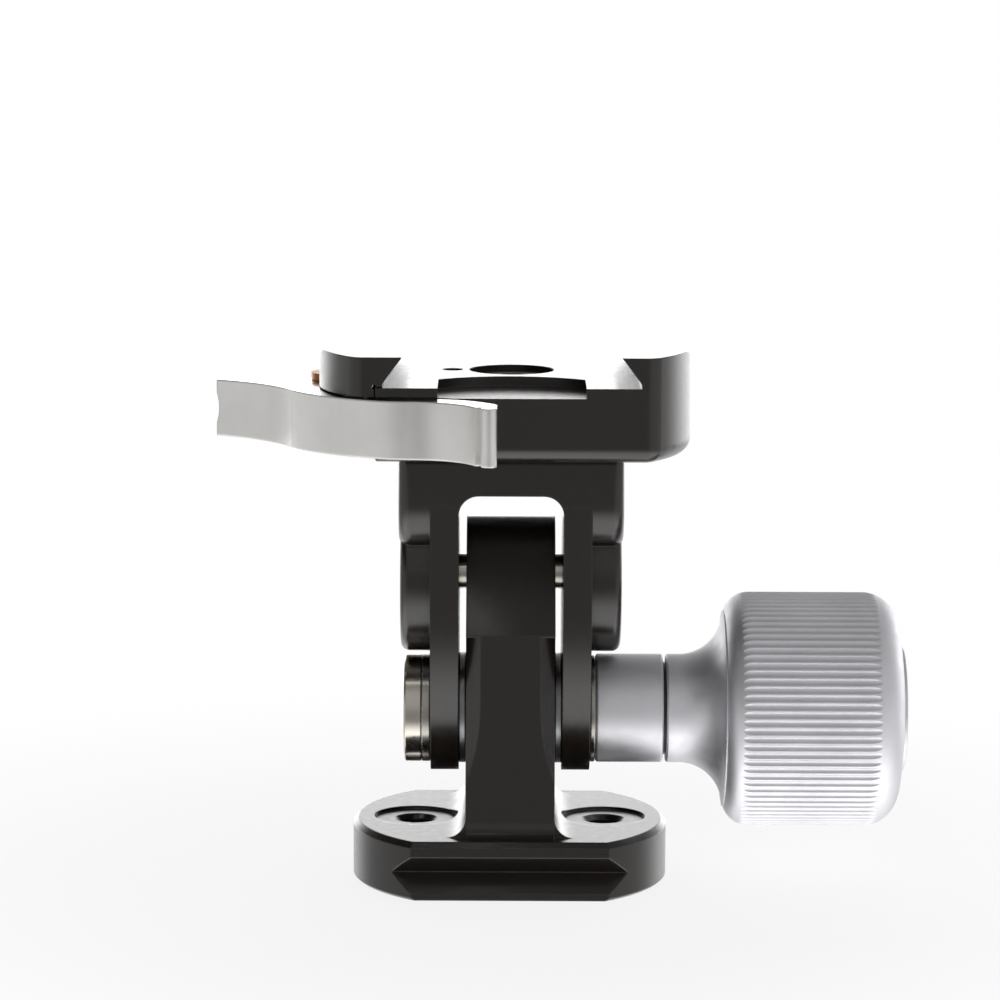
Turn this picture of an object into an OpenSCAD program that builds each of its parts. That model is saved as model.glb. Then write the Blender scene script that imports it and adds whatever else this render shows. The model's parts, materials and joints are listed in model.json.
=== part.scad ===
// Monopod tilt head with a lever clamp. Millimetres, +Z up, camera side at +Z.
// Origin: centre of the base's underside. X runs along the lock knob's axis, with the knob at +X.
// The front, where the clamp lever lies, faces -Y.

/* [Base] */
// Radius of the base's round ends
base_r = 24.2; // [22:0.1:27]
// Distance between the base's two dovetail flats
base_depth = 38; // [36:0.5:40]
// Thickness of the base
base_t = 8.9; // [8.5:0.1:11]
// Chamfer round the base's top edge
base_chamfer = 0.8; // [0.3:0.1:1]
// Plain band under each dovetail groove
groove_foot = 1.1; // [0.8:0.1:1.6]
// Height of each dovetail groove
groove_h = 5.5; // [4:0.1:6]
// Distance between the two screw holes
hole_spacing = 29; // [27:0.5:31]
// Diameter of the screw holes
hole_d = 5.2; // [4:0.1:6]
// Diameter of the spot face round each screw hole
spot_d = 13; // [11:0.5:14]
// Depth of the spot faces
spot_depth = 0.45; // [0.2:0.05:1]
// Outer diameter of the threaded insert
insert_d = 14; // [12:0.5:16]
// Minor diameter of the insert's thread
insert_bore_d = 7.94; // [6:0.1:9]
// Length of the threaded insert
insert_len = 8; // [6:0.5:8]

/* [Stem] */
// Width of the stem between the yoke's arms
stem_w = 13.5; // [12:0.5:14]
// Half of the stem's depth, from front to back
stem_half_depth = 15.5; // [15:0.1:17]
// Height of the stem's shoulders
shoulder_z = 40; // [37:0.1:41]
// Radius of the eye round the tilt pin
eye_r = 8.6; // [7.5:0.05:9]
// Bevel on the stem's four upright edges
stem_bevel = 2.2; // [1:0.1:2.4]
// Fillet between the stem and the base
stem_fillet = 3; // [1:0.1:3.2]
// Radius of the hollow that ends each bevel
bevel_runout_r = 45; // [20:1:50]

/* [Tilt and lock] */
// Height of the tilt pin
tilt_z = 47.3; // [46:0.1:49]
// Height of the lock bolt
lock_z = 26; // [25:0.1:27]
// Tilt to each side
tilt_max = 25; // [15:1:26]
// Diameter of the tilt pin
tilt_pin_d = 5.5; // [5:0.1:6]
// Outer diameter of the bushes round the tilt pin
bush_d = 8; // [7.5:0.1:9]
// Diameter of the lock bolt
lock_bolt_d = 6.4; // [6:0.1:7]
// Diameter of the friction discs
friction_d = 17; // [15:0.5:17.5]
// Diameter of the bolt's cap, the washers and the collar
stack_d = 16.7; // [15:0.1:17]
// Thickness of the left washer
left_washer_t = 1.5; // [1:0.1:2]
// Thickness of the right washer
right_washer_t = 0.9; // [0.6:0.1:1.2]
// Thickness of the bolt's cap
cap_t = 2.6; // [2:0.1:4]
// Length of the lock collar
collar_len = 10.3; // [8:0.1:12]
// Thickness of the thrust washer between collar and knob
thrust_t = 0.5; // [0.3:0.1:1]

/* [Knob] */
// Diameter of the knob's grip
knob_d = 36; // [34:0.1:37]
// Length of the knob's neck before it flares
knob_neck_len = 2; // [1:0.1:4]
// Radius of the hollow flare behind the grip
flare_r = 6.75; // [5.5:0.05:7]
// Radius of the grip's rear edge
grip_rear_r = 4; // [1.5:0.1:4.2]
// Length of the straight part of the grip
grip_len = 17.5; // [16:0.1:22]
// Radius of the grip's outer edge
grip_front_r = 5.5; // [4:0.1:6]
// Radius of the knob's domed end
dome_r = 84; // [60:1:100]
// Number of flutes round the grip
flutes = 90; // [60:1:96]
// Radius of each flute
flute_r = 0.55; // [0.5:0.01:0.6]
// Depth of each flute
flute_depth = 0.32; // [0.2:0.01:0.36]
// Diameter of the cap in the knob's end
knob_cap_d = 19; // [12:0.5:21]
// Turn of the knob from locked to free
knob_turn = 360; // [90:10:360]
// Pitch of the lock bolt's thread
thread_pitch = 1.25; // [0.75:0.05:1.25]

/* [Yoke] */
// Gap between the yoke's arms
yoke_gap = 15.8; // [15.8:0.1:16.4]
// Thickness of each ear that the lock bolt squeezes
ear_t = 4.3; // [3.5:0.1:5]
// Width of the yoke over its outer lobes
yoke_w = 34; // [32:0.5:36]
// Depth of the yoke's top block, from front to back
block_depth = 30; // [28:0.5:32]
// Height of the gap's ceiling
ceiling_z = 61.1; // [60:0.1:62]
// Radius in the gap's upper corners
ceiling_r = 3; // [1:0.5:4]
// Radius of the ears round the lock bolt
ear_lock_r = 9.6; // [9:0.1:10]
// Radius of the ears' long flanks
ear_flank_r = 40; // [35:1:90]
// Radius of the outer lobes round the tilt pin
lobe_r = 12.2; // [11:0.1:12.4]
// Height of the block's underside
block_foot_z = 52; // [51.5:0.1:55]
// Radius of the block's lower edges, front and back
block_foot_r = 8; // [4:0.5:8.5]

/* [Clamp] */
// Height of the clamp's underside
clamp_z = 67.3; // [67:0.1:68]
// Height of the dovetail floor above the clamp's underside
floor_h = 11.2; // [11:0.1:12.5]
// Height of the jaws above the dovetail floor
jaw_h = 4.55; // [4.4:0.05:5]
// Length of the clamp, from front to back
clamp_len = 48.4; // [46:0.2:50]
// Half width of the dovetail at the jaws' tips
tip_x = 16.2; // [15.8:0.1:16.8]
// Half width of the dovetail at the jaws' roots
root_x = 19.1; // [18.8:0.1:19.4]
// Distance from the centre to the fixed jaw's outer face
fixed_jaw_x = 27; // [26:0.5:29]
// Distance from the centre to the moving jaw's outer face
moving_jaw_x = 29; // [28.5:0.5:30]
// Distance from the centre to the joint between body and moving jaw
joint_x = 20.35; // [20:0.05:20.6]
// Radius of the clamp's long side curves
side_r = 25; // [22:1:30]
// Radius of the clamp's plan corners
corner_r = 3; // [2:0.5:4]
// Half length of the straight part of the clamp's sides
side_flat = 8; // [6:0.5:10]
// Radius of the clamp's lower edges
lower_edge_r = 2.4; // [1:0.1:2.6]
// Width of the relief pockets at the ends of the floor
pocket_w = 22; // [18:0.5:24]
// Depth of the relief pockets
pocket_depth = 1.5; // [0.8:0.1:2]
// Radius of the cutter that made the relief pockets
pocket_r = 16.5; // [15:0.5:18]
// Diameter of the clamp screw's head
screw_head_d = 12.6; // [11:0.1:13]
// Diameter of the clamp screw
screw_d = 6; // [5:0.5:6]
// Diameter of the locating hole in the floor
locating_d = 3.2; // [2.5:0.1:4]

/* [Clamp lever] */
// Height of the lever's underside above the clamp's underside
lever_foot = 1; // [0.9:0.1:1.5]
// Height of the lever
lever_h = 8.6; // [8:0.1:8.8]
// Distance from the centre to the lever's pivot
pivot_x = 26.2; // [26:0.05:26.6]
// Diameter of the lever's pivot pin
pivot_d = 3.4; // [3:0.1:3.6]
// Radius of the cam with the lever closed
cam_r = 4.5; // [4.4:0.05:4.6]
// Jaw travel when the lever opens
jaw_travel = 1.5; // [0.8:0.1:1.5]
// Turn of the lever from closed to open
lever_turn = 90; // [60:5:90]
// Thickness of the lever's arm
arm_t = 4.2; // [3.5:0.1:4.5]
// Distance from the clamp's centre line to the lever's flat face
arm_y = 27.4; // [27.2:0.1:28]
// Distance from the centre to the lever's left end
lever_end_x = 45; // [43:0.5:47]
// Diameter of the flanged bush on the pivot
flange_d = 8.8; // [7:0.1:9]

/* [Hidden] */
$fn = 96;

// Clearances
run_gap = 0.05; // turning and sliding fits, per side
slide_gap = 0.2; // between the jaw and the body
part_gap = 0.3; // between pieces that pass each other
over = 1; // how far a cutter reaches past what it cuts
join = 0.04; // how far one outline reaches into the next

// Stem and lock
stem_x = stem_w / 2;
base_y = base_depth / 2;
slot_r = tilt_z - lock_z;
bevel_foot_z = lock_z + 3;
slot_half = lock_bolt_d / 2 + 0.2;
bolt_r = lock_bolt_d / 2;
stack_r = stack_d / 2;
stack_chamfer = 0.25;
hole_chamfer = 0.7;

// Places along the lock bolt
ear_in = yoke_gap / 2;
ear_out = ear_in + ear_t;
left_washer_x = -ear_out - left_washer_t;
cap_x = left_washer_x - cap_t;
cap_dome = 0.5;
collar_x = ear_out + right_washer_t + run_gap;
thrust_x = collar_x + collar_len;
knob_x = thrust_x + thrust_t;
flare_x = knob_x + knob_neck_len;
grip_x = flare_x + flare_r + grip_rear_r;
grip_end = grip_x + grip_len;
knob_r = knob_d / 2;
dome_x = grip_end - sqrt(pow(dome_r - grip_front_r, 2) - pow(knob_r - grip_front_r, 2));
knob_end = dome_x + dome_r;
knob_insert_r = 6;
knob_insert_x = knob_x + 2;
knob_insert_len = 19;
knob_insert_end = knob_insert_x + knob_insert_len;
knob_cap_t = 3.4;
knob_cap_rise = 0.45;
stop_x = knob_insert_end + thread_pitch * knob_turn / 360 + part_gap;
stop_washer_t = 1.2;
stop_r = 5;
stop_screw_r = 1.5;
stop_screw_len = 6;
stop_head_r = 2.75;
stop_head_h = 2.4;
stop_hex = 2.5;
knob_room_r = 6.5;
key_r = 1;
key_offset = 5.6;
key_len = 4;

// Yoke
yoke_x = yoke_w / 2;
block_y = block_depth / 2;
block_corner = 2;
block_top_r = 1.9;
lobe_x = yoke_x - 0.2;
lobe_edge_r = 1.3;
pin_end = 1;

// Clamp
floor_z = clamp_z + floor_h;
jaw_top = floor_z + jaw_h;
clamp_y = clamp_len / 2;
body_left = -joint_x + slide_gap;
root_step = 0.65;
root_z = floor_z + root_step;
relief_r = 0.35;
jaw_edge_r = 1.2;
screw_head_h = 3;
screw_head_gap = 0.9;
screw_seat_z = floor_z - screw_head_gap - screw_head_h;
screw_hex = 5;
dowel_r = 1.5;
dowel_y = 11;
dowel_len = 7.4;
locating_x = -9;
locating_depth = 3;

// Clamp lever
lever_z = clamp_z + lever_foot;
lever_top = lever_z + lever_h;
lip_z = lever_top + 0.25;
shelf_z = lever_z - part_gap;
pivot_r = pivot_d / 2;
cam_drop = jaw_travel * 1.15;
cam_gap = 0.1;
web_x = pivot_x - cam_r - cam_gap;
web_y = 17;
boss_x = web_x - 5;
boss_y = 11;
boss_foot = lever_z + part_gap;
boss_top = lip_z - part_gap;
room_x = boss_x - 1.4;
bar_z = (lever_z + lever_top) / 2;
bar_r = 2.2;
bar_eye_r = 3.3;
bar_eye_t = 2.8;
bar_end = 8;
flange_z = lever_top + run_gap;
flange_t = 1.1;
pin_head_r = 2.6;
pin_head_h = 0.7;
bush_room_top = flange_z + flange_t + pin_head_h + part_gap;
bush_room_x = pivot_x - flange_d / 2 - jaw_travel - part_gap;
clip_r = 3;
clip_t = 0.7;
guide_r = 1.75;
guide_y = 8;
guide_end = 8.5;
spring_r = 2.35;
spring_wire = 0.7;
spring_turns = 6;
spring_room_r = 3.1;
spring_room_x = boss_x - 6.2;

// Plan of the lever: flare centre and corner centre
flare_cx = -14.5;
arm_flare_r = 9.9;
flare_cy = -arm_y - arm_flare_r;
arm_corner_cx = -14.7;
arm_corner_r = 12.15;
arm_corner_turn = 23.7;
corner_cy = -arm_y + arm_corner_r;
arm_bow_r = 27.6;
bow_cx = arm_corner_cx - (arm_corner_r - join - arm_bow_r) * sin(arm_corner_turn);
bow_cy = corner_cy - (arm_corner_r - join - arm_bow_r) * cos(arm_corner_turn);
bow_start_x = arm_corner_cx - arm_corner_r * sin(arm_corner_turn);
arm_slope = 64.8;
tail_r = 25.4;
tail_rear_y = 2;
bead_r = 1.15;
bead_x = -3.35;
bead_y = -34.4;
arm_inner_x = 25.25;
tip_angle = 22;
scallop_r = 7.4;
scallop_depth = 0.35;

// A [y, z] outline drawn along X from x0 to x1
module along_x(x0, x1) {
    translate([x0, 0, 0])
        rotate([90, 0, 90])
            linear_extrude(x1 - x0)
                children();
}

// An [x, z] outline drawn along Y, centred
module along_y(length) {
    rotate([90, 0, 0])
        linear_extrude(length, center = true)
            children();
}

// A plan outline drawn up from z0 to z1
module upright(z0, z1) {
    translate([0, 0, z0])
        linear_extrude(z1 - z0)
            children();
}

// A [radius, x] outline turned about the X axis at height z
module turned(z) {
    translate([0, 0, z])
        rotate([0, 90, 0])
            rotate_extrude()
                children();
}

// A plain rod along X at [y, z]
module rod_x(r, x0, x1, y, z) {
    translate([x0, y, z])
        rotate([0, 90, 0])
            cylinder(r = r, h = x1 - x0);
}

// A disc along X with chamfered rims and a bore
module washer_x(r, bore, x0, x1, chamfer) {
    turned(lock_z)
        polygon([
            [bore, x0], [r - chamfer, x0], [r, x0 + chamfer],
            [r, x1 - chamfer], [r - chamfer, x1], [bore, x1]
        ]);
}

// A hexagon socket's prism
module hexagon(across) {
    circle(d = across / cos(30), $fn = 6);
}

// The corner piece that leaves a round edge when it is taken away; the edge lies at the origin
module edge_round(r) {
    difference() {
        translate([-r, -r])
            square([r + over, r + over]);
        translate([-r, -r])
            circle(r);
    }
}

// Base and stem
module base_plan_turned() {
    rotate_extrude()
        polygon([
            [0, 0], [base_r - groove_foot / 3, 0], [base_r, groove_foot / 3],
            [base_r, base_t - base_chamfer], [base_r - base_chamfer, base_t], [0, base_t]
        ]);
}

module base_profile() {
    depth = groove_h / 2;
    mid = groove_foot + depth;
    top = groove_foot + groove_h;
    edge = base_t - base_chamfer;
    polygon([
        [-base_y, 0], [base_y, 0], [base_y, groove_foot], [base_y - depth, mid], [base_y, top],
        [base_y, edge], [base_y - base_chamfer, base_t], [base_chamfer - base_y, base_t],
        [-base_y, edge], [-base_y, top], [depth - base_y, mid], [-base_y, groove_foot]
    ]);
}

module screw_hole() {
    r = hole_d / 2;
    translate([0, 0, -over])
        cylinder(r = r, h = base_t + 2 * over);
    translate([0, 0, base_t - spot_depth])
        cylinder(d = spot_d, h = spot_depth + over);
    translate([0, 0, base_t - spot_depth - hole_chamfer])
        cylinder(r1 = r, r2 = r + hole_chamfer, h = hole_chamfer);
}

module stem_profile() {
    rise = shoulder_z - tilt_z;
    span = norm([stem_half_depth, rise]);
    lean = atan2(rise, stem_half_depth);
    touch = lean + acos(eye_r / span);
    polygon([
        [-stem_half_depth, base_t - over], [stem_half_depth, base_t - over],
        [stem_half_depth, shoulder_z],
        [eye_r * cos(touch), tilt_z + eye_r * sin(touch)],
        [-eye_r * cos(touch), tilt_z + eye_r * sin(touch)],
        [-stem_half_depth, shoulder_z]
    ]);
    translate([0, tilt_z])
        circle(eye_r);
}

// The curved slot that the lock bolt swings through
module slot_profile() {
    reach = slot_r + slot_half + over;
    translate([0, tilt_z]) {
        for (side = [-1, 1])
            rotate(side * tilt_max)
                translate([0, -slot_r])
                    circle(slot_half);
        intersection() {
            difference() {
                circle(slot_r + slot_half - join);
                circle(slot_r - slot_half + join);
            }
            polygon([[0, 0], [-reach * tan(tilt_max), -reach], [reach * tan(tilt_max), -reach]]);
        }
    }
}

// Bevel on one upright edge, run out at its foot by a hollow
module stem_edge_cut() {
    foot_z = bevel_foot_z;
    low_z = base_t + stem_fillet;
    flat = (stem_x + stem_half_depth - stem_bevel) / sqrt(2);
    rotate([0, 0, 45]) {
        translate([flat, -stem_half_depth, foot_z])
            cube([stem_half_depth, 2 * stem_half_depth, tilt_z - foot_z - eye_r + over]);
        intersection() {
            translate([flat + bevel_runout_r, 0, foot_z])
                rotate([90, 0, 0])
                    cylinder(r = bevel_runout_r, h = 2 * stem_half_depth, center = true, $fn = 2 * $fn);
            translate([flat, -stem_half_depth, low_z])
                cube([stem_half_depth, 2 * stem_half_depth, foot_z - low_z]);
        }
    }
}

module stem_foot_fillets() {
    r = stem_fillet;
    for (side = [-1, 1]) {
        difference() {
            translate([side > 0 ? stem_x - over : -stem_x - r, -stem_half_depth, base_t - over])
                cube([r + over, 2 * stem_half_depth, r + over]);
            translate([side * (stem_x + r), 0, base_t + r])
                rotate([90, 0, 0])
                    cylinder(r = r, h = base_depth, center = true);
        }
    }
}

module stem_end_fillets() {
    reach = base_y - base_chamfer - stem_half_depth;
    for (side = [-1, 1])
        difference() {
            translate([-stem_x, side > 0 ? stem_half_depth - over : -stem_half_depth - reach, base_t - over])
                cube([stem_w, reach + over, reach + over]);
            rod_x(reach, -stem_w, stem_w, side * (stem_half_depth + reach), base_t + reach);
        }
}

module base_stem() {
    color([0.13, 0.125, 0.13])
        difference() {
            union() {
                intersection() {
                    base_plan_turned();
                    along_x(-base_r - over, base_r + over)
                        base_profile();
                }
                along_x(-stem_x, stem_x)
                    stem_profile();
                stem_foot_fillets();
                stem_end_fillets();
            }
            for (side = [-1, 1])
                translate([side * hole_spacing / 2, 0, 0])
                    screw_hole();
            translate([0, 0, -over])
                cylinder(d = insert_d, h = insert_len + over);
            rod_x(bush_d / 2, -stem_w, stem_w, 0, tilt_z);
            along_x(-stem_w, stem_w)
                slot_profile();
            for (mx = [0, 1])
                for (my = [0, 1])
                    mirror([mx, 0, 0])
                        mirror([0, my, 0])
                            stem_edge_cut();
        }
}

module thread_insert() {
    rim = 0.5;
    color([0.72, 0.7, 0.66])
        difference() {
            cylinder(d = insert_d, h = insert_len);
            translate([0, 0, -over])
                cylinder(d = insert_bore_d, h = insert_len + 2 * over);
            translate([0, 0, -run_gap])
                cylinder(r1 = insert_bore_d / 2 + rim, r2 = insert_bore_d / 2, h = rim + run_gap);
        }
}

module tilt_bushes() {
    length = stem_x - 0.6;
    color([0.62, 0.42, 0.2])
        for (side = [-1, 1])
            difference() {
                rod_x(bush_d / 2, side > 0 ? 0.6 : -stem_x, side > 0 ? stem_x : -0.6, 0, tilt_z);
                rod_x(tilt_pin_d / 2 + run_gap, -length - over, length + over, 0, tilt_z);
            }
}

// Yoke
// Outline of an ear: a neck as deep as the block, long bowed flanks and a round foot
module ear_profile() {
    near = ear_flank_r - block_y;
    far = ear_flank_r - ear_lock_r;
    rise = sqrt(far * far - near * near);
    foot = -rise / far * ear_lock_r;
    translate([0, lock_z]) {
        circle(ear_lock_r);
        intersection() {
            for (side = [-1, 1])
                translate([side * near, rise])
                    circle(ear_flank_r - join, $fn = 2 * $fn);
            translate([-block_y, foot])
                square([block_depth, rise - foot]);
        }
        translate([join - block_y, rise])
            square([block_depth - 2 * join, clamp_z - block_corner - lock_z - rise]);
    }
}

// Outer lobes: a thick disc round the tilt pin with round rims
module lobes() {
    half = lobe_x - lobe_edge_r;
    turned(tilt_z) {
        translate([0, -half])
            square([lobe_r, 2 * half]);
        translate([0, -lobe_x])
            square([lobe_r - lobe_edge_r, 2 * lobe_x]);
        for (side = [-1, 1])
            translate([lobe_r - lobe_edge_r, side * half])
                circle(lobe_edge_r);
    }
}

module block_plan() {
    square([yoke_w - 2 * block_corner, block_depth], center = true);
    square([yoke_w, block_depth - 2 * block_corner], center = true);
    for (sx = [-1, 1])
        for (sy = [-1, 1])
            translate([sx * (yoke_x - block_corner), sy * (block_y - block_corner)])
                circle(block_corner);
}

// Outline of the block from one side, with rounds at its upper edges
module block_top_profile(half, foot) {
    difference() {
        translate([-half, foot])
            square([2 * half, clamp_z - foot]);
        for (side = [0, 1])
            mirror([side, 0])
                translate([half, clamp_z])
                    edge_round(block_top_r);
    }
}

// One of the block's round lower edges, as a quarter of a disc with round rims
module block_foot_round() {
    rim = block_foot_r - block_corner;
    half = yoke_x - block_corner;
    centre_y = block_y - block_foot_r;
    centre_z = block_foot_z + block_foot_r;
    intersection() {
        translate([0, centre_y, 0])
            turned(centre_z) {
                translate([0, -half])
                    square([block_foot_r, 2 * half]);
                translate([0, -yoke_x])
                    square([rim, yoke_w]);
                for (side = [-1, 1])
                    translate([rim, side * half])
                        circle(block_corner);
            }
        translate([-yoke_x - over, centre_y, centre_z - block_foot_r - over])
            cube([yoke_w + 2 * over, block_foot_r + over, block_foot_r + over]);
    }
}

module block() {
    middle_z = block_foot_z + block_foot_r;
    middle_y = block_y - block_foot_r;
    intersection() {
        upright(middle_z, clamp_z)
            block_plan();
        along_x(-yoke_x, yoke_x)
            block_top_profile(block_y, middle_z);
        along_y(block_depth)
            block_top_profile(yoke_x, middle_z);
    }
    along_y(2 * middle_y)
        difference() {
            translate([-yoke_x, block_foot_z])
                square([yoke_w, block_foot_r]);
            for (side = [0, 1])
                mirror([side, 0])
                    translate([yoke_x, block_foot_z])
                        mirror([0, 1])
                            edge_round(block_corner);
        }
    for (side = [0, 1])
        mirror([0, side, 0])
            block_foot_round();
}

module gap_profile() {
    top = ceiling_z - ceiling_r;
    translate([-ear_in, 0])
        square([yoke_gap, top]);
    translate([-ear_in + ceiling_r, 0])
        square([yoke_gap - 2 * ceiling_r, ceiling_z]);
    for (side = [-1, 1])
        translate([side * (ear_in - ceiling_r), top])
            circle(ceiling_r);
}

module yoke() {
    thread_r = screw_d / 2;
    color([0.14, 0.135, 0.14])
        difference() {
            union() {
                along_x(-ear_out, ear_out)
                    ear_profile();
                lobes();
                block();
            }
            along_y(block_depth + 2 * over)
                gap_profile();
            rod_x(tilt_pin_d / 2, -lobe_x + pin_end, lobe_x - pin_end, 0, tilt_z);
            rod_x(bolt_r + run_gap, -yoke_x - over, yoke_x + over, 0, lock_z);
            rod_x(key_r, -ear_out - over, -ear_out + key_len / 2, key_offset, lock_z);
            translate([0, 0, ceiling_z - over])
                cylinder(r = thread_r, h = clamp_z - ceiling_z + 2 * over);
            for (side = [-1, 1])
                translate([0, side * dowel_y, clamp_z - dowel_len / 2])
                    cylinder(r = dowel_r, h = dowel_len);
        }
}

module tilt_pin() {
    color([0.82, 0.8, 0.74])
        rod_x(tilt_pin_d / 2, -lobe_x + pin_end, lobe_x - pin_end, 0, tilt_z);
}

module friction_discs() {
    color([0.2, 0.19, 0.18])
        for (side = [-1, 1])
            mirror([side > 0 ? 0 : 1, 0, 0])
                washer_x(friction_d / 2, bolt_r + run_gap, stem_x + run_gap, ear_in, 0.15);
}

// Lock bolt, washers and knob
module lock_bolt() {
    color([0.78, 0.76, 0.71])
        difference() {
            union() {
                turned(lock_z)
                    polygon([
                        [0, cap_x - cap_dome], [stack_r * 0.55, cap_x - cap_dome * 0.7],
                        [stack_r - stack_chamfer, cap_x], [stack_r, cap_x + stack_chamfer],
                        [stack_r, left_washer_x], [0, left_washer_x]
                    ]);
                rod_x(bolt_r, left_washer_x - over, stop_x, 0, lock_z);
            }
            rod_x(stop_screw_r, stop_x - stop_screw_len - over, stop_x + over, 0, lock_z);
            rod_x(key_r, left_washer_x - key_len / 4, left_washer_x + over, key_offset, lock_z);
        }
}

module bolt_key() {
    color([0.7, 0.7, 0.7])
        rod_x(key_r, left_washer_x - key_len / 4, -ear_out + key_len / 2, key_offset, lock_z);
}

module left_washer() {
    color([0.52, 0.48, 0.42])
        difference() {
            washer_x(stack_r, bolt_r, left_washer_x, -ear_out, 0.2);
            rod_x(key_r, left_washer_x - over, -ear_out + over, key_offset, lock_z);
        }
}

module right_washer() {
    color([0.52, 0.48, 0.42])
        washer_x(stack_r, bolt_r, ear_out, ear_out + right_washer_t, 0.2);
}

module stop_washer() {
    color([0.7, 0.7, 0.7])
        washer_x(stop_r, stop_screw_r, stop_x, stop_x + stop_washer_t, 0.2);
}

module stop_screw() {
    head_x = stop_x + stop_washer_t;
    color([0.25, 0.25, 0.26])
        difference() {
            union() {
                rod_x(stop_screw_r, stop_x - stop_screw_len, head_x + over, 0, lock_z);
                rod_x(stop_head_r, head_x, head_x + stop_head_h, 0, lock_z);
            }
            along_x(head_x + stop_head_h / 2, head_x + stop_head_h + over)
                translate([0, lock_z])
                    hexagon(stop_hex);
        }
}

module lock_collar() {
    color([0.83, 0.83, 0.85])
        washer_x(stack_r, bolt_r + run_gap, collar_x, thrust_x, stack_chamfer);
}

module thrust_washer() {
    color([0.1, 0.1, 0.1])
        washer_x(stack_r - 1.2, bolt_r + run_gap, thrust_x, knob_x, 0.1);
}

module knob_profile() {
    flare_end_r = stack_r + flare_r;
    corner_x = grip_x - grip_rear_r;
    front_r = knob_r - grip_front_r;
    intersection() {
        translate([0, knob_x])
            square([knob_r, knob_end - knob_x]);
        union() {
            translate([0, knob_x + stack_chamfer])
                square([stack_r, knob_neck_len]);
            polygon([
                [0, knob_x], [stack_r - stack_chamfer, knob_x], [stack_r, knob_x + stack_chamfer],
                [0, knob_x + stack_chamfer]
            ]);
            difference() {
                translate([0, flare_x])
                    square([flare_end_r, flare_r]);
                translate([flare_end_r, flare_x])
                    circle(flare_r);
            }
            translate([0, corner_x])
                square([knob_r - grip_rear_r, grip_rear_r]);
            translate([0, corner_x])
                square([flare_end_r, grip_rear_r / 4]);
            translate([knob_r - grip_rear_r, grip_x])
                circle(grip_rear_r);
            translate([0, grip_x])
                square([knob_r, grip_len]);
            translate([front_r, grip_end])
                circle(grip_front_r);
            intersection() {
                translate([0, dome_x])
                    circle(dome_r);
                translate([0, grip_end])
                    square([front_r * dome_r / (dome_r - grip_front_r), dome_r]);
            }
        }
    }
}

module fluted_circle() {
    difference() {
        circle(knob_r + over);
        for (i = [0 : flutes - 1])
            rotate(i * 360 / flutes)
                translate([knob_r + flute_r - flute_depth, 0])
                    circle(flute_r, $fn = 24);
    }
}

module knob() {
    color([0.82, 0.82, 0.84])
        difference() {
            intersection() {
                turned(lock_z)
                    knob_profile();
                along_x(knob_x - over, knob_end + over)
                    translate([0, lock_z])
                        fluted_circle();
            }
            rod_x(bolt_r + 0.2, knob_x - over, knob_insert_x + over, 0, lock_z);
            rod_x(knob_insert_r, knob_insert_x, knob_insert_end, 0, lock_z);
            rod_x(knob_room_r, knob_insert_end, knob_end - knob_cap_t, 0, lock_z);
            rod_x(knob_cap_d / 2, knob_end - knob_cap_t, knob_end + over, 0, lock_z);
        }
}

module knob_insert() {
    color([0.72, 0.62, 0.38])
        difference() {
            rod_x(knob_insert_r, knob_insert_x, knob_insert_end, 0, lock_z);
            rod_x(bolt_r + run_gap, knob_insert_x - over, knob_insert_end + over, 0, lock_z);
        }
}

module knob_cap() {
    r = knob_cap_d / 2;
    face = dome_x + sqrt(dome_r * dome_r - r * r) + knob_cap_rise;
    edge = 0.12;
    color([0.84, 0.84, 0.86])
        turned(lock_z)
            polygon([
                [0, knob_end - knob_cap_t], [r, knob_end - knob_cap_t], [r, face - edge],
                [r - edge, face], [0, face]
            ]);
}

// Clamp
// Plan of a clamp end that stands at x = edge, with its long side curves and corners
module end_plan(edge) {
    cx = edge - side_r;
    lift = clamp_y - corner_r - side_flat;
    small_x = cx + sqrt(pow(side_r - corner_r, 2) - lift * lift);
    turn = atan2(lift, small_x - cx);
    reach = 2 * side_r;
    translate([0, -clamp_y])
        square([small_x, clamp_len]);
    translate([0, -side_flat])
        square([edge, 2 * side_flat]);
    for (side = [-1, 1]) {
        translate([small_x, side * (clamp_y - corner_r)])
            circle(corner_r);
        intersection() {
            translate([cx, side * side_flat])
                circle(side_r);
            polygon([
                [cx, side * side_flat],
                [cx + reach * cos(turn), side * (side_flat + reach * sin(turn))],
                [cx + reach, side * side_flat]
            ]);
        }
    }
}

module clamp_front_profile() {
    difference() {
        polygon([
            [body_left, clamp_z], [fixed_jaw_x, clamp_z], [fixed_jaw_x, jaw_top], [tip_x, jaw_top],
            [root_x, root_z], [root_x, floor_z], [body_left, floor_z]
        ]);
        translate([fixed_jaw_x, jaw_top])
            edge_round(jaw_edge_r);
        translate([body_left, clamp_z])
            mirror([1, 0])
                mirror([0, 1])
                    edge_round(lever_foot / 2);
    }
}

module clamp_side_profile() {
    difference() {
        translate([-clamp_y, clamp_z])
            square([clamp_len, jaw_top - clamp_z]);
        for (side = [0, 1])
            mirror([side, 0])
                translate([clamp_y, clamp_z])
                    mirror([0, 1])
                        edge_round(lower_edge_r);
    }
}

// Section of the clamp out to half width r, with its round lower edge
module clamp_rim(r) {
    difference() {
        translate([0, clamp_z])
            square([r, jaw_top - clamp_z]);
        translate([r, clamp_z])
            mirror([0, 1])
                edge_round(lower_edge_r);
    }
}

// Part of an upright post of radius r, from angle a to angle b
module clamp_sector(r, a, b) {
    reach = 2 * r;
    middle = (a + b) / 2;
    intersection() {
        rotate_extrude()
            clamp_rim(r);
        upright(clamp_z - over, jaw_top + over)
            polygon([
                [0, 0], reach * [cos(a), sin(a)], reach * [cos(middle), sin(middle)],
                reach * [cos(b), sin(b)]
            ]);
    }
}

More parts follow.
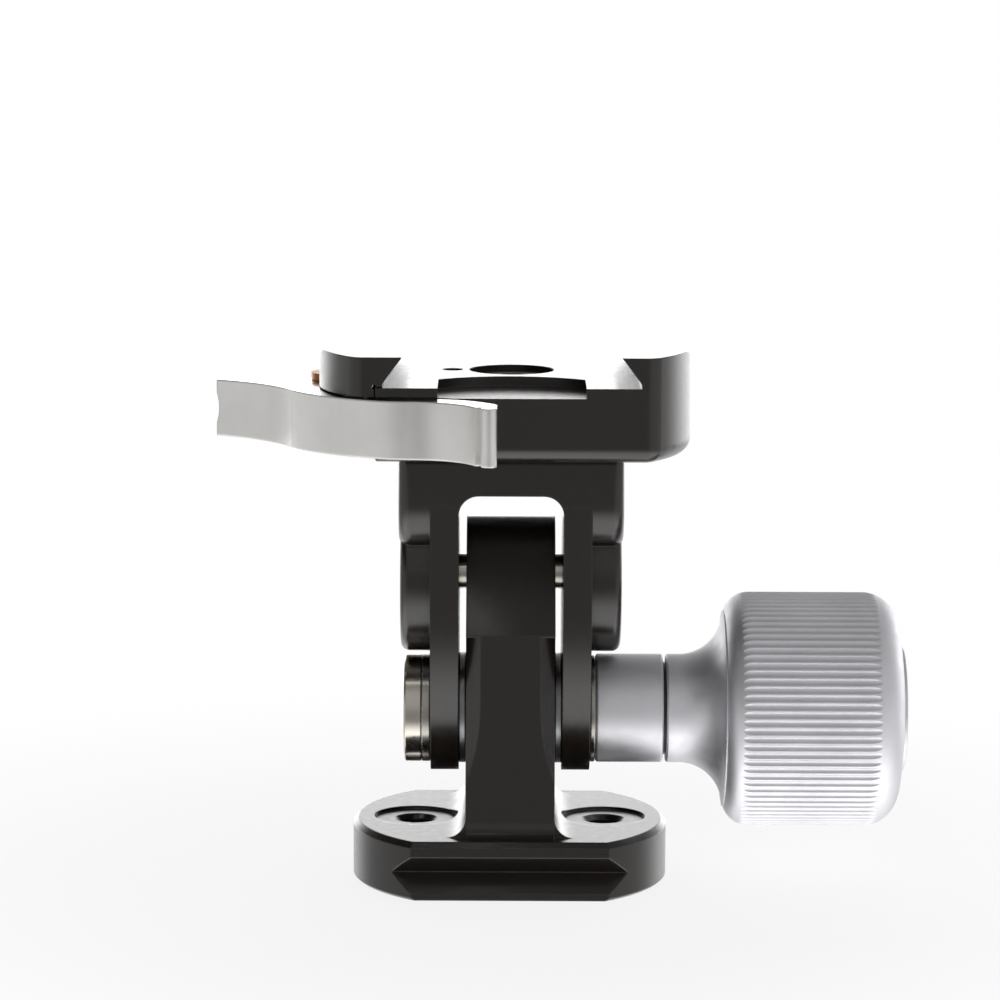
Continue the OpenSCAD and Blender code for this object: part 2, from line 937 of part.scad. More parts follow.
// The clamp as one block, its lower edge rounded along its whole outline
module clamp_block() {
    cx = fixed_jaw_x - side_r;
    lift = clamp_y - corner_r - side_flat;
    small_x = cx + sqrt(pow(side_r - corner_r, 2) - lift * lift);
    turn = atan2(lift, small_x - cx);
    along_x(body_left, small_x)
        clamp_side_profile();
    along_y(2 * side_flat)
        translate([cx, 0])
            clamp_rim(side_r);
    for (side = [0, 1])
        mirror([0, side, 0]) {
            translate([cx, side_flat, 0])
                clamp_sector(side_r, 0, turn);
            translate([small_x, clamp_y - corner_r, 0])
                clamp_sector(corner_r, turn, 90);
        }
}

// Hollow in the clamp's front left corner that the closed lever lies in
module lever_nest() {
    inner_r = arm_flare_r + arm_t + part_gap;
    nest_y = -arm_y + arm_t + part_gap;
    upright(shelf_z, lip_z) {
        translate([flare_cx, flare_cy])
            circle(inner_r);
        translate([-joint_x - over, -clamp_y - over])
            square([joint_x + over + flare_cx, clamp_y + over + nest_y]);
        difference() {
            translate([-joint_x - over, -clamp_y - over])
                square([joint_x + over + arm_corner_cx, clamp_y + over + corner_cy]);
            intersection() {
                translate([bow_cx, bow_cy])
                    circle(arm_bow_r - arm_t - part_gap);
                union() {
                    translate([arm_corner_cx, corner_cy])
                        circle(arm_corner_r - arm_t - part_gap);
                    translate([bow_start_x - 2 * joint_x, -clamp_y - 2 * over])
                        square([2 * joint_x, clamp_y + 2 * over]);
                }
            }
        }
    }
}

module floor_pockets() {
    for (side = [0, 1])
        mirror([0, side, 0])
            upright(floor_z - pocket_depth, floor_z + over)
                intersection() {
                    translate([0, -clamp_y - over])
                        circle(pocket_r);
                    translate([-pocket_w / 2, -clamp_y - over])
                        square([pocket_w, clamp_y]);
                }
}

module clamp_body() {
    color([0.13, 0.125, 0.13])
        difference() {
            intersection() {
                along_y(clamp_len)
                    clamp_front_profile();
                clamp_block();
            }
            lever_nest();
            floor_pockets();
            translate([0, 0, screw_seat_z])
                cylinder(d = screw_head_d + 2 * slide_gap, h = floor_h);
            translate([0, 0, clamp_z - over])
                cylinder(r = screw_d / 2 + slide_gap, h = floor_h);
            translate([locating_x, 0, floor_z - locating_depth])
                cylinder(d = locating_d, h = locating_depth + over);
            for (side = [-1, 1])
                translate([0, side * dowel_y, clamp_z - over])
                    cylinder(r = dowel_r, h = dowel_len / 2 + over);
            translate([body_left - over, -boss_y - part_gap, shelf_z])
                cube([over - room_x - body_left, 2 * (boss_y + part_gap), lip_z - shelf_z]);
            rod_x(bar_r, -room_x - over, -bar_end, 0, bar_z);
            for (side = [-1, 1]) {
                rod_x(guide_r + run_gap, -room_x - over, -guide_end + over, side * guide_y, bar_z);
                rod_x(spring_room_r, -room_x - over, -spring_room_x, side * guide_y, bar_z);
            }
        }
}

module clamp_screw() {
    head_top = screw_seat_z + screw_head_h;
    rim = 0.4;
    color([0.3, 0.3, 0.31])
        difference() {
            union() {
                translate([0, 0, ceiling_z + rim])
                    cylinder(d = screw_d, h = screw_seat_z - ceiling_z);
                translate([0, 0, screw_seat_z])
                    cylinder(d = screw_head_d, h = screw_head_h - rim);
                translate([0, 0, head_top - rim])
                    cylinder(r1 = screw_head_d / 2, r2 = screw_head_d / 2 - rim, h = rim);
            }
            upright(screw_seat_z + rim, head_top + over)
                hexagon(screw_hex);
        }
}

module alignment_dowels() {
    color([0.7, 0.7, 0.7])
        for (side = [-1, 1])
            translate([0, side * dowel_y, clamp_z - dowel_len / 2])
                cylinder(r = dowel_r, h = dowel_len);
}

// Bar that ties the lever's pin to the clamp body
module draw_bar() {
    color([0.7, 0.7, 0.7])
        difference() {
            union() {
                rod_x(bar_r, -pivot_x + bar_eye_r / 2, -bar_end, 0, bar_z);
                translate([-pivot_x, 0, bar_z - bar_eye_t / 2])
                    cylinder(r = bar_eye_r, h = bar_eye_t);
            }
            translate([-pivot_x, 0, bar_z - bar_eye_t])
                cylinder(r = pivot_r, h = 2 * bar_eye_t);
        }
}

module lever_pin() {
    color([0.8, 0.8, 0.8])
        translate([-pivot_x, 0, 0]) {
            translate([0, 0, lever_z - clip_t - run_gap - 0.3])
                cylinder(r = pivot_r, h = lever_h + flange_t + clip_t + 2 * run_gap + 0.3 + pin_head_h / 2);
            translate([0, 0, flange_z + flange_t])
                cylinder(r1 = pin_head_r, r2 = pin_head_r - 0.3, h = pin_head_h);
        }
}

module lever_bush() {
    color([0.66, 0.42, 0.24])
        translate([-pivot_x, 0, flange_z])
            difference() {
                cylinder(d = flange_d, h = flange_t);
                translate([0, 0, -over])
                    cylinder(r = pivot_r, h = flange_t + 2 * over);
            }
}

module pin_clip() {
    color([0.25, 0.25, 0.26])
        translate([-pivot_x, 0, lever_z - run_gap - clip_t])
            difference() {
                cylinder(r = clip_r, h = clip_t);
                translate([0, 0, -over])
                    cylinder(r = pivot_r, h = clip_t + 2 * over);
                translate([-clip_r, -pivot_r * 0.8, -over])
                    cube([clip_r, pivot_r * 1.6, clip_t + 2 * over]);
            }
}

module jaw_profile() {
    difference() {
        polygon([
            [-moving_jaw_x, lip_z], [-joint_x, lip_z], [-joint_x, floor_z + slide_gap],
            [-root_x, floor_z + slide_gap], [-root_x, root_z], [-tip_x, jaw_top],
            [-moving_jaw_x, jaw_top]
        ]);
        translate([-moving_jaw_x, jaw_top])
            mirror([1, 0])
                edge_round(jaw_edge_r);
        translate([-joint_x, floor_z + slide_gap])
            circle(relief_r);
    }
}

module moving_jaw() {
    color([0.14, 0.135, 0.14])
        difference() {
            union() {
                intersection() {
                    along_y(clamp_len)
                        jaw_profile();
                    upright(lip_z, jaw_top)
                        mirror([1, 0])
                            end_plan(moving_jaw_x);
                }
                translate([-web_x, -web_y, boss_foot])
                    cube([web_x - joint_x, 2 * web_y, floor_z - boss_foot]);
                translate([-web_x, -boss_y, boss_foot])
                    cube([web_x - boss_x, 2 * boss_y, boss_top - boss_foot]);
            }
            translate([-moving_jaw_x - over, -flange_d / 2 - part_gap, boss_top])
                cube([moving_jaw_x + over - bush_room_x, flange_d + 2 * part_gap, bush_room_top - boss_top]);
            rod_x(bar_r + part_gap, -web_x - over, -boss_x + over, 0, bar_z);
            for (side = [-1, 1])
                rod_x(guide_r, -web_x - over, -boss_x + over, side * guide_y, bar_z);
        }
}

module guide_pins() {
    color([0.8, 0.8, 0.8])
        for (side = [-1, 1])
            rod_x(guide_r, -web_x, -guide_end, side * guide_y, bar_z);
}

// One coil spring along X, as a round wire swept along a helix
module coil(x0, x1, y, z) {
    sides = 6;
    per_turn = 12;
    rings = spring_turns * per_turn;
    wire = spring_wire / 2;
    lift = (x1 - x0 - spring_wire) / rings;
    points = [
        for (i = [0 : rings])
            for (k = [0 : sides - 1])
                let (turn = i * 360 / per_turn, a = k * 360 / sides, r = spring_r + wire * cos(a))
                    [x0 + wire + i * lift + wire * sin(a), y + r * cos(turn), z + r * sin(turn)]
    ];
    walls = [
        for (i = [0 : rings - 1])
            for (k = [0 : sides - 1])
                let (a = i * sides + k, b = i * sides + (k + 1) % sides)
                    each [[a, a + sides, b], [b, a + sides, b + sides]]
    ];
    first = [for (k = [1 : sides - 2]) [0, k, k + 1]];
    last = [for (k = [1 : sides - 2]) [rings * sides, rings * sides + k + 1, rings * sides + k]];
    polyhedron(points, concat(walls, first, last));
}

module jaw_springs() {
    color([0.6, 0.6, 0.62])
        for (side = [-1, 1])
            coil(-boss_x + run_gap, -spring_room_x - run_gap, side * guide_y, bar_z);
}

// Part of a ring from angle a to angle b
module ring_part(r_in, r_out, a, b) {
    reach = 2 * r_out;
    middle = (a + b) / 2;
    intersection() {
        difference() {
            circle(r_out);
            circle(r_in);
        }
        polygon([
            [0, 0], reach * [cos(a), sin(a)], reach * [cos(middle), sin(middle)],
            reach * [cos(b), sin(b)]
        ]);
    }
}

// Finger end of the lever: a hollow flare that stops at a small round bead
module finger_plan() {
    tip = bead_x + bead_r;
    intersection() {
        translate([flare_cx, flare_cy])
            ring_part(arm_flare_r, arm_flare_r + arm_t, tip_angle, 90);
        translate([flare_cx, flare_cy])
            square([tip - flare_cx, 2 * arm_flare_r]);
    }
    translate([bead_x, bead_y])
        circle(bead_r);
    translate([bead_x - bead_r, bead_y])
        square([2 * bead_r, 2 * bead_r]);
}

// Broad part of the lever: a corner, a long bow and a hollow tail
module handle_plan() {
    inner_r = arm_corner_r - arm_t;
    corner = [arm_corner_cx, corner_cy];
    corner_out = [-sin(arm_corner_turn), -cos(arm_corner_turn)];
    bow_out = [-sin(arm_slope), -cos(arm_slope)];
    bow = [bow_cx, bow_cy];
    bow_end = bow + (arm_bow_r - join) * bow_out;
    tail = bow_end + tail_r * bow_out;
    tail_y = tail[1] + sqrt(tail_r * tail_r - pow(lever_end_x + tail[0], 2));
    reach = 2 * arm_bow_r;
    translate(corner)
        ring_part(inner_r, arm_corner_r, 260 - arm_corner_turn, 270);
    difference() {
        union() {
            intersection() {
                translate(bow)
                    circle(arm_bow_r);
                polygon([bow, bow + reach * bow_out, bow + reach * corner_out]);
            }
            polygon([
                bow, bow_end, [-lever_end_x, tail_y], [-lever_end_x, tail_rear_y],
                [bar_r / 2 - pivot_x, cam_r - cam_drop - 2 * join]
            ]);
        }
        translate(tail)
            circle(tail_r);
        intersection() {
            union() {
                translate(bow)
                    circle(arm_bow_r - arm_t);
                translate([bow[0] - reach, bow[1]])
                    square([2 * reach, reach]);
            }
            translate([-arm_inner_x, -reach])
                square([reach, 2 * reach]);
        }
    }
}

// Radius of the cam in direction a: it falls evenly while the lever opens
function cam_at(a) = cam_r - cam_drop * max(0, min(1, a / lever_turn));

module cam_plan() {
    steps = 18;
    polygon(concat(
        [[0, 0]],
        [for (i = [0 : steps]) let (a = -80 + (lever_turn + 80) * i / steps) cam_at(a) * [cos(a), sin(a)]]
    ));
}

// Slot through the hub for the draw bar's eye, wide enough for the whole turn
module bar_slot() {
    reach = cam_r + over;
    half = bar_r + part_gap;
    translate([-pivot_x, 0, bar_z - bar_r - part_gap])
        linear_extrude(2 * (bar_r + part_gap)) {
            circle(bar_eye_r + part_gap);
            for (a = [0, lever_turn])
                rotate(a)
                    translate([0, -half])
                        square([reach, 2 * half]);
            polygon([[0, 0], [reach, -half], [reach, reach], [-half, reach]]);
        }
}

module clamp_lever() {
    scallop_x = -lever_end_x - scallop_r + scallop_depth;
    color([0.8, 0.8, 0.8])
        difference() {
            union() {
                upright(lever_z, lever_top)
                    finger_plan();
                upright(lever_z, lever_top)
                    translate([arm_corner_cx, -arm_y])
                        square([flare_cx - arm_corner_cx, arm_t]);
                upright(lever_z, lever_top)
                    handle_plan();
                translate([-pivot_x, 0, 0])
                    upright(lever_z, lever_top)
                        cam_plan();
            }
            translate([-pivot_x, 0, lever_z - over])
                cylinder(r = pivot_r + run_gap, h = lever_h + 2 * over);
            bar_slot();
            translate([scallop_x, 0, bar_z])
                rotate([90, 0, 0])
                    cylinder(r = scallop_r, h = lever_end_x, center = true);
        }
}

base_stem();
thread_insert();
tilt_bushes();
yoke();
tilt_pin();
friction_discs();
lock_bolt();
bolt_key();
left_washer();
right_washer();
stop_washer();
stop_screw();
lock_collar();
thrust_washer();
knob();
knob_insert();
knob_cap();
clamp_body();
clamp_screw();
alignment_dowels();
draw_bar();
lever_pin();
lever_bush();
pin_clip();
moving_jaw();
guide_pins();
jaw_springs();
clamp_lever();
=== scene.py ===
"""Looks of a monopod tilt head: materials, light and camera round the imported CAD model."""

import json
import math

import bmesh
import bpy
from mathutils import Matrix, Vector


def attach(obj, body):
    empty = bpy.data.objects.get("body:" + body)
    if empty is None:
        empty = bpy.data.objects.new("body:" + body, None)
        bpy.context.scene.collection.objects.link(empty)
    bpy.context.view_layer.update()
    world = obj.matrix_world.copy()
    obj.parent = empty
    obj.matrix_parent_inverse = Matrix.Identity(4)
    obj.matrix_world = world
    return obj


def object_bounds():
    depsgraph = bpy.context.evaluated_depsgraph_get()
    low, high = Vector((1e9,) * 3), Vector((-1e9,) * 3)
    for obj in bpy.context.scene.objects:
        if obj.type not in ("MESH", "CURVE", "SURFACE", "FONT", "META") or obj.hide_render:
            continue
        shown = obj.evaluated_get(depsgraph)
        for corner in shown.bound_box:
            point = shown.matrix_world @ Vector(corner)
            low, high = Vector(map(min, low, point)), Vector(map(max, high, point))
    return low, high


MM = 0.001
WHITE = (1, 1, 1, 1)

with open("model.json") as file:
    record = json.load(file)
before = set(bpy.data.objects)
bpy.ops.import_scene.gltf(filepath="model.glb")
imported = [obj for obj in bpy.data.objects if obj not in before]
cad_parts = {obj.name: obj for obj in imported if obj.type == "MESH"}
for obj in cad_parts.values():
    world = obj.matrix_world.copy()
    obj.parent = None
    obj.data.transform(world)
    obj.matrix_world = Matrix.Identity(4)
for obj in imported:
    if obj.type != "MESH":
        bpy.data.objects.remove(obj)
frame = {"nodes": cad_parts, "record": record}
CAD_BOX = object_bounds()


def new_object(name, data):
    made = bpy.data.objects.new(name, data)
    bpy.context.scene.collection.objects.link(made)
    return made


def new_mesh(name, build):
    mesh = bpy.data.meshes.new(name)
    build.to_mesh(mesh)
    build.free()
    return mesh


# The photograph's camera
PHOTO_PX = 1000
FOCAL_PX = 4200
SENSOR_MM = 36
CAMERA_AT = Vector((-1.71, -637.1, 153.57)) * MM
CAMERA_DOWN = math.radians(8.5)
CAMERA_ROLL = math.radians(0.25)
CLIP_START = 0.01
CLIP_END = 20


def add_camera():
    data = bpy.data.cameras.new("camera")
    data.sensor_width = SENSOR_MM
    data.sensor_height = SENSOR_MM
    data.lens = FOCAL_PX / PHOTO_PX * SENSOR_MM
    data.clip_start = CLIP_START
    data.clip_end = CLIP_END
    camera = new_object("camera", data)
    tilt = Matrix.Rotation(math.pi / 2 - CAMERA_DOWN, 4, "X")
    roll = Matrix.Rotation(CAMERA_ROLL, 4, "Z")
    camera.matrix_world = Matrix.Translation(CAMERA_AT) @ tilt @ roll
    bpy.context.scene.camera = camera


# The mix node's sockets for each kind of value: first, second, result
MIX_SOCKETS = {"RGBA": (6, 7, 2), "FLOAT": (2, 3, 0)}


class Nodes:
    """Builds a node tree: each sum, ramp, pattern or mix returns what its node puts out."""

    def __init__(self, tree):
        self.tree = tree
        tree.nodes.clear()

    def add(self, kind, **settings):
        node = self.tree.nodes.new(kind)
        for key, value in settings.items():
            setattr(node, key, value)
        return node

    def link(self, value, socket):
        """Feeds a socket from another one, or sets it to a plain value."""
        if isinstance(value, bpy.types.NodeSocket):
            self.tree.links.new(value, socket)
        else:
            socket.default_value = value

    def math(self, operation, a, b=0.0):
        node = self.add("ShaderNodeMath", operation=operation)
        self.link(a, node.inputs[0])
        self.link(b, node.inputs[1])
        return node.outputs[0]

    def times(self, a, b):
        return self.math("MULTIPLY", a, b)

    def plus(self, a, b):
        return self.math("ADD", a, b)

    def ramp(self, value, low, high, out_low=0.0, out_high=1.0):
        """Goes smoothly from out_low at low to out_high at high, and stays there."""
        node = self.add("ShaderNodeMapRange", interpolation_type="SMOOTHSTEP")
        self.link(value, node.inputs["Value"])
        node.inputs["From Min"].default_value = low
        node.inputs["From Max"].default_value = high
        node.inputs["To Min"].default_value = out_low
        node.inputs["To Max"].default_value = out_high
        return node.outputs["Result"]

    def coordinate(self, kind):
        return self.add("ShaderNodeTexCoord").outputs[kind]

    def axes(self, vector):
        node = self.add("ShaderNodeSeparateXYZ")
        self.link(vector, node.inputs[0])
        return node.outputs

    def scaled(self, vector, scale):
        node = self.add("ShaderNodeMapping")
        self.link(vector, node.inputs["Vector"])
        node.inputs["Scale"].default_value = scale
        return node.outputs["Vector"]

    def noise(self, vector, scale, detail):
        node = self.add("ShaderNodeTexNoise")
        self.link(vector, node.inputs["Vector"])
        node.inputs["Scale"].default_value = scale
        node.inputs["Detail"].default_value = detail
        return node.outputs["Fac"]

    def mix(self, factor, a, b, kind="RGBA", blend="MIX"):
        first, second, result = MIX_SOCKETS[kind]
        node = self.add("ShaderNodeMix", data_type=kind, blend_type=blend)
        self.link(factor, node.inputs["Factor"])
        self.link(a, node.inputs[first])
        self.link(b, node.inputs[second])
        return node.outputs[result]

    def mix_shaders(self, factor, a, b):
        node = self.add("ShaderNodeMixShader")
        self.link(factor, node.inputs["Fac"])
        self.link(a, node.inputs[1])
        self.link(b, node.inputs[2])
        return node.outputs[0]

    def bump(self, height, distance, strength, normal=None):
        node = self.add("ShaderNodeBump")
        self.link(height, node.inputs["Height"])
        node.inputs["Distance"].default_value = distance
        node.inputs["Strength"].default_value = strength
        if normal is not None:
            self.link(normal, node.inputs["Normal"])
        return node.outputs["Normal"]

    def round_edges(self, radius):
        node = self.add("ShaderNodeBevel", samples=4)
        node.inputs["Radius"].default_value = radius
        return node.outputs["Normal"]

    def sharp_edges(self, rounded):
        """0 on open faces, rising towards 1 where the rounded normal leaves the true one."""
        dot = self.add("ShaderNodeVectorMath", operation="DOT_PRODUCT")
        true = self.add("ShaderNodeNewGeometry").outputs["Normal"]
        self.link(rounded, dot.inputs[0])
        self.link(true, dot.inputs[1])
        return self.ramp(dot.outputs["Value"], low=0.995, high=0.9)


def rgba(color):
    return (*color, 1.0)


def new_material(name):
    material = bpy.data.materials.new(name)
    material.use_nodes = True
    return material, Nodes(material.node_tree)


def principled(nodes, **inputs):
    """The material's shader; an underscore in an input's name stands for a space."""
    shader = nodes.add("ShaderNodeBsdfPrincipled")
    for name, value in inputs.items():
        nodes.link(value, shader.inputs[name.replace("_", " ")])
    output = nodes.add("ShaderNodeOutputMaterial")
    nodes.link(shader.outputs["BSDF"], output.inputs["Surface"])


# Materials. A noise's scale is in cells per metre.
DYE_DARK = rgba((0.018, 0.0135, 0.0105))
DYE_LIGHT = rgba((0.021, 0.016, 0.0125))
DYE_RUBBED = rgba((0.06, 0.058, 0.058))
RUBBED_SHARE = 0.25


def black_anodised():
    """Bead-blasted black anodised aluminium, a little lighter where its edges are rubbed."""
    material, n = new_material("black_anodised")
    place = n.coordinate("Object")
    cloud = n.noise(place, scale=60, detail=3)
    grain = n.noise(place, scale=9000, detail=2)
    rounded = n.round_edges(radius=0.3 * MM)
    patches = n.ramp(n.noise(place, scale=400, detail=4), low=0.35, high=0.7)
    worn = n.times(n.sharp_edges(rounded), patches)
    dye = n.mix(cloud, DYE_DARK, DYE_LIGHT)
    sheen = n.noise(place, scale=900, detail=3)
    principled(
        n,
        Base_Color=n.mix(n.times(worn, RUBBED_SHARE), dye, DYE_RUBBED),
        Roughness=n.ramp(sheen, low=0.2, high=0.8, out_low=0.22, out_high=0.27),
        IOR=1.6,
        Normal=n.bump(grain, distance=0.004 * MM, strength=0.4, normal=rounded),
    )
    return material


ROUGHNESS_SPREAD = 0.04


def metal(
    name,
    color,
    roughness,
    edge=0.2,
    grain=0.006,
    metallic=1.0,
    slant=1.0,
    streaks=None,
    flat=None,
):
    """Bare or clear-anodised metal with a fine grain and soft edges.

    edge is the edges' radius and grain the grain's depth, in mm. slant tints what the metal
    mirrors at a low angle. streaks is the scale that stretches its tool marks. flat is the
    roughness of faces that look up.
    """
    material, n = new_material(name)
    place = n.coordinate("Object")
    rounded = n.round_edges(radius=edge * MM)
    cloud = n.noise(place, scale=120, detail=3)
    tone = n.ramp(cloud, low=0.3, high=0.7, out_low=0.96, out_high=1.03)
    marks = n.noise(n.scaled(place, streaks or (1, 1, 1)), scale=700, detail=3)
    dull = n.ramp(
        marks,
        low=0.25,
        high=0.75,
        out_low=roughness - ROUGHNESS_SPREAD,
        out_high=roughness + ROUGHNESS_SPREAD,
    )
    if flat is not None:
        up = n.axes(n.coordinate("Normal"))[2]
        level = n.ramp(up, low=0.9, high=0.99)
        dull = n.mix(level, dull, flat, kind="FLOAT")
    pits = n.noise(place, scale=6000, detail=2)
    normal = n.bump(pits, distance=grain * MM, strength=0.6, normal=rounded)
    if streaks:
        normal = n.bump(marks, distance=0.02 * MM, strength=0.5, normal=normal)
    principled(
        n,
        Base_Color=n.mix(1.0, rgba(color), tone, blend="MULTIPLY"),
        Metallic=metallic,
        Roughness=dull,
        Specular_Tint=rgba((slant, slant, slant)),
        Normal=normal,
    )
    return material


def plastic(name, color, roughness):
    """Plain plastic whose colour drifts to one that is half as bright again."""
    material, n = new_material(name)
    place = n.coordinate("Object")
    cloud = n.noise(place, scale=800, detail=3)
    pits = n.noise(place, scale=5000, detail=2)
    pale = rgba([c * 1.5 for c in color])
    principled(
        n,
        Base_Color=n.mix(cloud, rgba(color), pale),
        Roughness=roughness,
        Normal=n.bump(pits, distance=0.01 * MM, strength=0.5),
    )
    return material


MATERIALS = {
    "black_anodised": black_anodised(),
    "silver_anodised": metal(
        "silver_anodised", (0.85, 0.85, 0.885), 0.5, metallic=0.85, slant=0.45
    ),
    "silver_lever": metal(
        "silver_lever", (0.83, 0.82, 0.8), 0.4, edge=0.4, streaks=(1, 1, 0.04), flat=0.2
    ),
    "polished_steel": metal("polished_steel", (0.58, 0.545, 0.485), 0.18, grain=0.001),
    "steel": metal("steel", (0.6, 0.6, 0.58), 0.25),
    "spring_steel": metal("spring_steel", (0.5, 0.5, 0.5), 0.3),
    "black_steel": metal("black_steel", (0.07, 0.07, 0.075), 0.35),
    "washer_bronze": metal("washer_bronze", (0.42, 0.4, 0.37), 0.25),
    "bronze": metal("bronze", (0.45, 0.2, 0.09), 0.4),
    "brass": metal("brass", (0.72, 0.52, 0.26), 0.3),
    "friction": metal("friction", (0.5, 0.51, 0.52), 0.4),
    "nylon": plastic("nylon", (0.02, 0.02, 0.021), 0.4),
}


def dress_nodes():
    for part in frame["record"]["subparts"]:
        mesh = frame["nodes"][part["node"]].data
        mesh.materials.clear()
        mesh.materials.append(MATERIALS[part["material_slot"]])


# Side outline of the yoke's ears, in mm: each flank bows in from the neck to the round foot
EAR_DEPTH = 15
FLANK_R = 40
FOOT_R = 9.6
FOOT_Z = 26
EAR_OUT = 12.2
ARC_STEPS = 30
# How far the cutter reaches past the ears, below and behind them and at their sides
CUT_OVER = 2
CUT_OVER_SIDES = 1
CRISP_ANGLE = math.radians(30)


def cut_outline():
    """What is cut from one flank, as (y, z) points, and how many of them lie on its arc.

    The flank's circle reaches the ear's full depth at its centre's height, and the foot's
    circle touches it from inside.
    """
    between = FLANK_R - FOOT_R
    centre_y = EAR_DEPTH - FLANK_R
    rise = math.sqrt(between * between - centre_y * centre_y)
    centre_z = FOOT_Z + rise
    touch = math.asin(rise / between)
    arc = [touch * i / ARC_STEPS for i in range(ARC_STEPS + 1)]
    flank = [(FLANK_R * math.cos(a) + centre_y, centre_z - FLANK_R * math.sin(a)) for a in arc]
    foot_y, foot_z = flank[-1]
    outer_y = EAR_DEPTH + CUT_OVER
    low_z = foot_z - CUT_OVER
    return flank + [(foot_y, low_z), (outer_y, low_z), (outer_y, centre_z)], len(flank)


def trim_ears():
    """Cuts the ears' square flanks back to the bowed outline seen in the photograph."""
    outline, arc_points = cut_outline()
    half = EAR_OUT + CUT_OVER_SIDES
    build = bmesh.new()
    for side in (-1, 1):
        left, right = (
            [build.verts.new(Vector((x, side * y, z)) * MM) for y, z in outline]
            for x in (-half, half)
        )
        build.faces.new(left)
        build.faces.new(right)
        for i in range(len(outline)):
            j = (i + 1) % len(outline)
            wall = build.faces.new((left[i], left[j], right[j], right[i]))
            wall.smooth = j < arc_points
    bmesh.ops.recalc_face_normals(build, faces=build.faces)
    mesh = new_mesh("ear_cutter", build)
    mesh.materials.append(MATERIALS["black_anodised"])
    cutter = new_object("ear_cutter", mesh)
    cutter.hide_render = True
    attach(cutter, "yoke")
    yoke = frame["nodes"]["yoke"]
    cut = yoke.modifiers.new("ear_flanks", "BOOLEAN")
    cut.operation = "DIFFERENCE"
    cut.object = cutter
    split = yoke.modifiers.new("crisp_edges", "EDGE_SPLIT")
    split.split_angle = CRISP_ANGLE


# The studio that reflections see, by direction: x to the right, y away from the camera, z up.
# Each span is where a part of it fades in or out along one axis.
HORIZON = (-0.1, 0.3)
CEILING = (0.6, 0.9)
CORNER_LEFTWARDS = (-0.25, -0.6)
CORNER_UPWARDS = (0.0, 0.35)
SIDES = (0.3, 0.65)
SIDES_TOP = (0.3, 0.0)
BAND_BEHIND = (0.3, 0.8)
BAND_TOP = (0.4, 0.1)
BAND_FOOT = (-0.25, 0.0)
BAND_TAPER = 0.27
TABLE_EDGE = (-0.3, -0.78)
TABLE_DEPTH = (-0.1, 0.5)

# How bright it is there, where 1 is white paper
ROOM_BELOW = 0.33
ROOM_ABOVE = 0.5
CEILING_SHARE = 0.5
CORNER_SHARE = 0.1
SIDE_GLOW = 0.32
BAND = 3.0
BAND_FOOT_SHARE = 0.25
TABLE_NEAR = 1.6
TABLE_FAR = 0.6


def add_world():
    """White to the camera; reflections see a dim room with a bright band behind and a lit table.

    The room's upper left corner is dark, its two sides glow near the horizon, and the band
    gets narrower to the left.
    """
    world = bpy.data.worlds.new("studio")
    bpy.context.scene.world = world
    world.use_nodes = True
    n = Nodes(world.node_tree)
    x, y, z = n.axes(n.coordinate("Generated"))

    room = n.times(
        n.ramp(z, *HORIZON, ROOM_BELOW, ROOM_ABOVE),
        n.ramp(z, *CEILING, 1.0, CEILING_SHARE),
    )
    corner = n.times(n.ramp(x, *CORNER_LEFTWARDS), n.ramp(z, *CORNER_UPWARDS))
    room = n.times(room, n.ramp(corner, 0.0, 1.0, 1.0, CORNER_SHARE))
    side = n.times(
        n.ramp(n.math("ABSOLUTE", x), *SIDES, 0.0, SIDE_GLOW),
        n.ramp(z, *SIDES_TOP),
    )
    height = n.times(n.ramp(z, *BAND_TOP), n.ramp(z, *BAND_FOOT, BAND_FOOT_SHARE, 1.0))
    left = n.times(n.math("MINIMUM", x, 0.0), BAND_TAPER)
    behind = n.ramp(n.plus(y, left), *BAND_BEHIND)
    band = n.times(n.times(behind, height), BAND)
    table = n.times(n.ramp(z, *TABLE_EDGE), n.ramp(y, *TABLE_DEPTH, TABLE_NEAR, TABLE_FAR))
    tent = n.plus(n.plus(room, side), n.plus(band, table))

    rays = n.add("ShaderNodeLightPath").outputs
    seen = n.math("MAXIMUM", rays["Is Camera Ray"], rays["Is Transmission Ray"])
    background = n.add("ShaderNodeBackground")
    background.inputs["Color"].default_value = WHITE
    n.link(n.mix(seen, tent, 1.0, kind="FLOAT"), background.inputs["Strength"])
    output = n.add("ShaderNodeOutputWorld")
    n.link(background.outputs[0], output.inputs["Surface"])


# Square area lamps, each with the radiance of its face
SOFTBOXES = {
    "back": {"at": (0, 1.2, 0.5), "size": 1.6, "radiance": 1.0},
    "top": {"at": (0, 0.1, 1.2), "size": 0.9, "radiance": 0.8},
}
SOFTBOX_AIM = Vector((0, 0, 0.05))


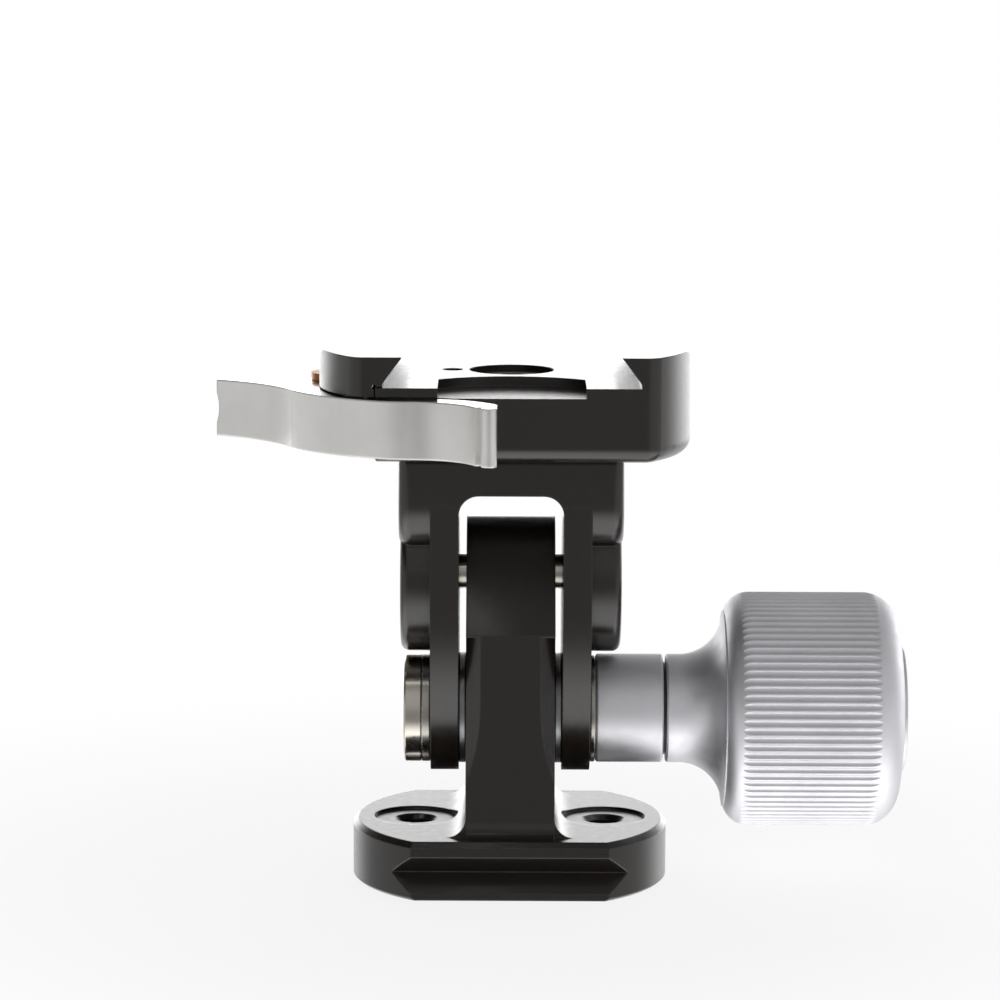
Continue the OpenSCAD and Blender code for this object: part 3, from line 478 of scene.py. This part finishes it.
def add_softbox(name, at, size, radiance):
    data = bpy.data.lights.new(name, "AREA")
    data.shape = "SQUARE"
    data.size = size
    data.energy = radiance * math.pi * size * size
    lamp = new_object(name, data)
    toward = (SOFTBOX_AIM - Vector(at)).normalized()
    turn = toward.to_track_quat("-Z", "Y").to_matrix().to_4x4()
    lamp.matrix_world = Matrix.Translation(at) @ turn
    lamp.visible_camera = False
    lamp.visible_glossy = False


FLOOR_HALF = 6.0
FLOOR_DROP = 0.02 * MM
FLOOR_PAPER = rgba((0.9, 0.9, 0.9))
SHADOW_WITHIN = 50 * MM
SHADOW_GONE = 160 * MM
GLOW_UNDER = 0.85


def add_floor():
    """A pale sheet with a faint shadow, pure white away from the object.

    Reflections pass through it and see the world's lit table.
    """
    build = bmesh.new()
    signs = ((-1, -1), (1, -1), (1, 1), (-1, 1))
    build.faces.new([build.verts.new((sx * FLOOR_HALF, sy * FLOOR_HALF, 0)) for sx, sy in signs])
    mesh = new_mesh("floor", build)
    floor = new_object("floor", mesh)
    floor.location.z = CAD_BOX[0].z - FLOOR_DROP
    material, n = new_material("floor")
    x, y, _ = n.axes(n.coordinate("Object"))
    away = n.math("SQRT", n.plus(n.times(x, x), n.times(y, y)))
    rays = n.add("ShaderNodeLightPath").outputs
    glow = n.ramp(away, SHADOW_WITHIN, SHADOW_GONE, GLOW_UNDER, 1.0)
    glow = n.times(rays["Is Camera Ray"], glow)
    glow = n.math("MAXIMUM", glow, rays["Is Transmission Ray"])
    paper = n.add("ShaderNodeBsdfDiffuse")
    paper.inputs["Color"].default_value = FLOOR_PAPER
    white = n.add("ShaderNodeEmission")
    clear = n.add("ShaderNodeBsdfTransparent")
    sheet = n.mix_shaders(glow, paper.outputs[0], white.outputs[0])
    sheet = n.mix_shaders(rays["Is Glossy Ray"], sheet, clear.outputs[0])
    output = n.add("ShaderNodeOutputMaterial")
    n.link(sheet, output.inputs["Surface"])
    mesh.materials.append(material)


add_camera()
dress_nodes()
trim_ears()
add_world()
add_floor()
for name, box in SOFTBOXES.items():
    add_softbox(name, **box)
bpy.context.scene.view_settings.view_transform = "Standard"
